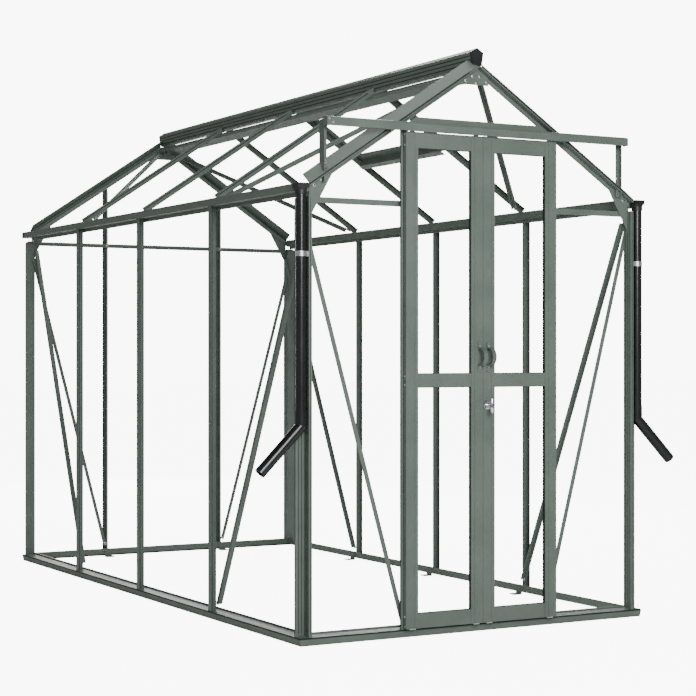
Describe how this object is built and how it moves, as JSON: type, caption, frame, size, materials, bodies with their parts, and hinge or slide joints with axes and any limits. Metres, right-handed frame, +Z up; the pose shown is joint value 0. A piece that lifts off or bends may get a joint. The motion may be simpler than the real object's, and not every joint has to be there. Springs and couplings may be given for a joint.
{
  "type": "greenhouse frame",
  "caption": "Narrow gabled greenhouse frame of coated aluminium bars, with twin sliding doors, a hinged roof vent, eaves gutters and downpipes; panes left out.",
  "frame": {"origin": "on the ground, at the middle of the whole part's box", "axes": "+Z up, +Y along the ridge from the door gable to the rear gable, so the doors face -Y"},
  "size_m": [1.5648, 2.602, 1.846],
  "materials": {
    "coated_aluminium": "satin powder coat",
    "black_plastic": "moulded",
    "roller_plastic": "moulded nylon",
    "bright_steel": "zinc plated",
    "chrome": "polished"
  },
  "bodies": {
    "frame": {"base_cleats": "coated_aluminium", "base_front": "coated_aluminium", "base_left": "coated_aluminium", "base_rear": "coated_aluminium", "base_right": "coated_aluminium", "corner_post_front_left": "coated_aluminium", "corner_post_front_right": "coated_aluminium", "corner_post_rear_left": "coated_aluminium", "corner_post_rear_right": "coated_aluminium", "door_lintel": "coated_aluminium", "door_posts": "coated_aluminium", "door_track": "coated_aluminium", "downpipe_shoes": "black_plastic", "downpipes": "black_plastic", "eaves_gutter_left": "coated_aluminium", "eaves_gutter_right": "coated_aluminium", "frame_bolts": "bright_steel", "front_transoms": "coated_aluminium", "gusset_plates": "coated_aluminium", "gutter_end_fittings": "black_plastic", "pipe_clips": "bright_steel", "rafter_front_left": "coated_aluminium", "rafter_front_right": "coated_aluminium", "rafter_rear_left": "coated_aluminium", "rafter_rear_right": "coated_aluminium", "rear_studs": "coated_aluminium", "rear_transom": "coated_aluminium", "ridge_beam": "coated_aluminium", "ridge_end_caps": "black_plastic", "roof_bar_left_1": "coated_aluminium", "roof_bar_left_2": "coated_aluminium", "roof_bar_left_3": "coated_aluminium", "roof_bar_right_1": "coated_aluminium", "roof_bar_right_2": "coated_aluminium", "roof_bar_right_3": "coated_aluminium", "roof_braces": "coated_aluminium", "stud_left_1": "coated_aluminium", "stud_left_2": "coated_aluminium", "stud_left_3": "coated_aluminium", "stud_right_1": "coated_aluminium", "stud_right_2": "coated_aluminium", "stud_right_3": "coated_aluminium", "track_brackets": "coated_aluminium", "vent_sill": "coated_aluminium", "wall_braces": "coated_aluminium"},
    "left_door": {"left_door_fittings": "bright_steel", "left_door_handle": "coated_aluminium", "left_door_rails": "coated_aluminium", "left_door_stiles": "coated_aluminium"},
    "right_door": {"right_door_fittings": "bright_steel", "right_door_handle": "coated_aluminium", "right_door_rails": "coated_aluminium", "right_door_stiles": "coated_aluminium"},
    "left_door_roller_inner": {"left_door_roller_inner": "roller_plastic"},
    "left_door_roller_outer": {"left_door_roller_outer": "roller_plastic"},
    "lock": {"lock_knob": "chrome"},
    "right_door_roller_inner": {"right_door_roller_inner": "roller_plastic"},
    "right_door_roller_outer": {"right_door_roller_outer": "roller_plastic"},
    "vent": {"roof_vent": "coated_aluminium"},
    "stay": {"vent_stay": "chrome"}
  },
  "joints": [
    {"name": "left_door_slide", "type": "slide", "parent": "frame", "child": "left_door", "axis": [-1, 0, 0], "range_m": [0, 0.27]},
    {"name": "right_door_slide", "type": "slide", "parent": "frame", "child": "right_door", "axis": [1, 0, 0], "range_m": [0, 0.27]},
    {"name": "left_outer_roller_turn", "type": "hinge", "parent": "left_door", "child": "left_door_roller_outer", "pos_m": [-0.259, -1.2535, 1.57525], "axis": [0, 1, 0], "range_deg": [-1940, 10]},
    {"name": "left_inner_roller_turn", "type": "hinge", "parent": "left_door", "child": "left_door_roller_inner", "pos_m": [-0.0245, -1.2535, 1.57525], "axis": [0, 1, 0], "range_deg": [-1940, 10]},
    {"name": "right_outer_roller_turn", "type": "hinge", "parent": "right_door", "child": "right_door_roller_outer", "pos_m": [0.259, -1.2535, 1.57525], "axis": [0, 1, 0], "range_deg": [-10, 1940]},
    {"name": "right_inner_roller_turn", "type": "hinge", "parent": "right_door", "child": "right_door_roller_inner", "pos_m": [0.0245, -1.2535, 1.57525], "axis": [0, 1, 0], "range_deg": [-10, 1940]},
    {"name": "lock_turn", "type": "hinge", "parent": "right_door", "child": "lock", "pos_m": [0.014, -1.281, 0.714], "axis": [0, -1, 0], "range_deg": [0, 90]},
    {"name": "vent_hinge", "type": "hinge", "parent": "frame", "child": "vent", "pos_m": [0.02943, -0.2815, 1.79888], "axis": [0, -1, 0], "range_deg": [0, 45]},
    {"name": "stay_swing", "type": "hinge", "parent": "vent", "child": "stay", "pos_m": [0.27245, -0.3265, 1.62831], "axis": [0.8339, 0, -0.5519], "range_deg": [0, 90]}
  ],
  "couplings": [
    {"joint": "left_outer_roller_turn", "follows": "left_door_slide", "rad_per_m": -125},
    {"joint": "left_inner_roller_turn", "follows": "left_door_slide", "rad_per_m": -125},
    {"joint": "right_outer_roller_turn", "follows": "right_door_slide", "rad_per_m": 125},
    {"joint": "right_inner_roller_turn", "follows": "right_door_slide", "rad_per_m": 125}
  ]
}
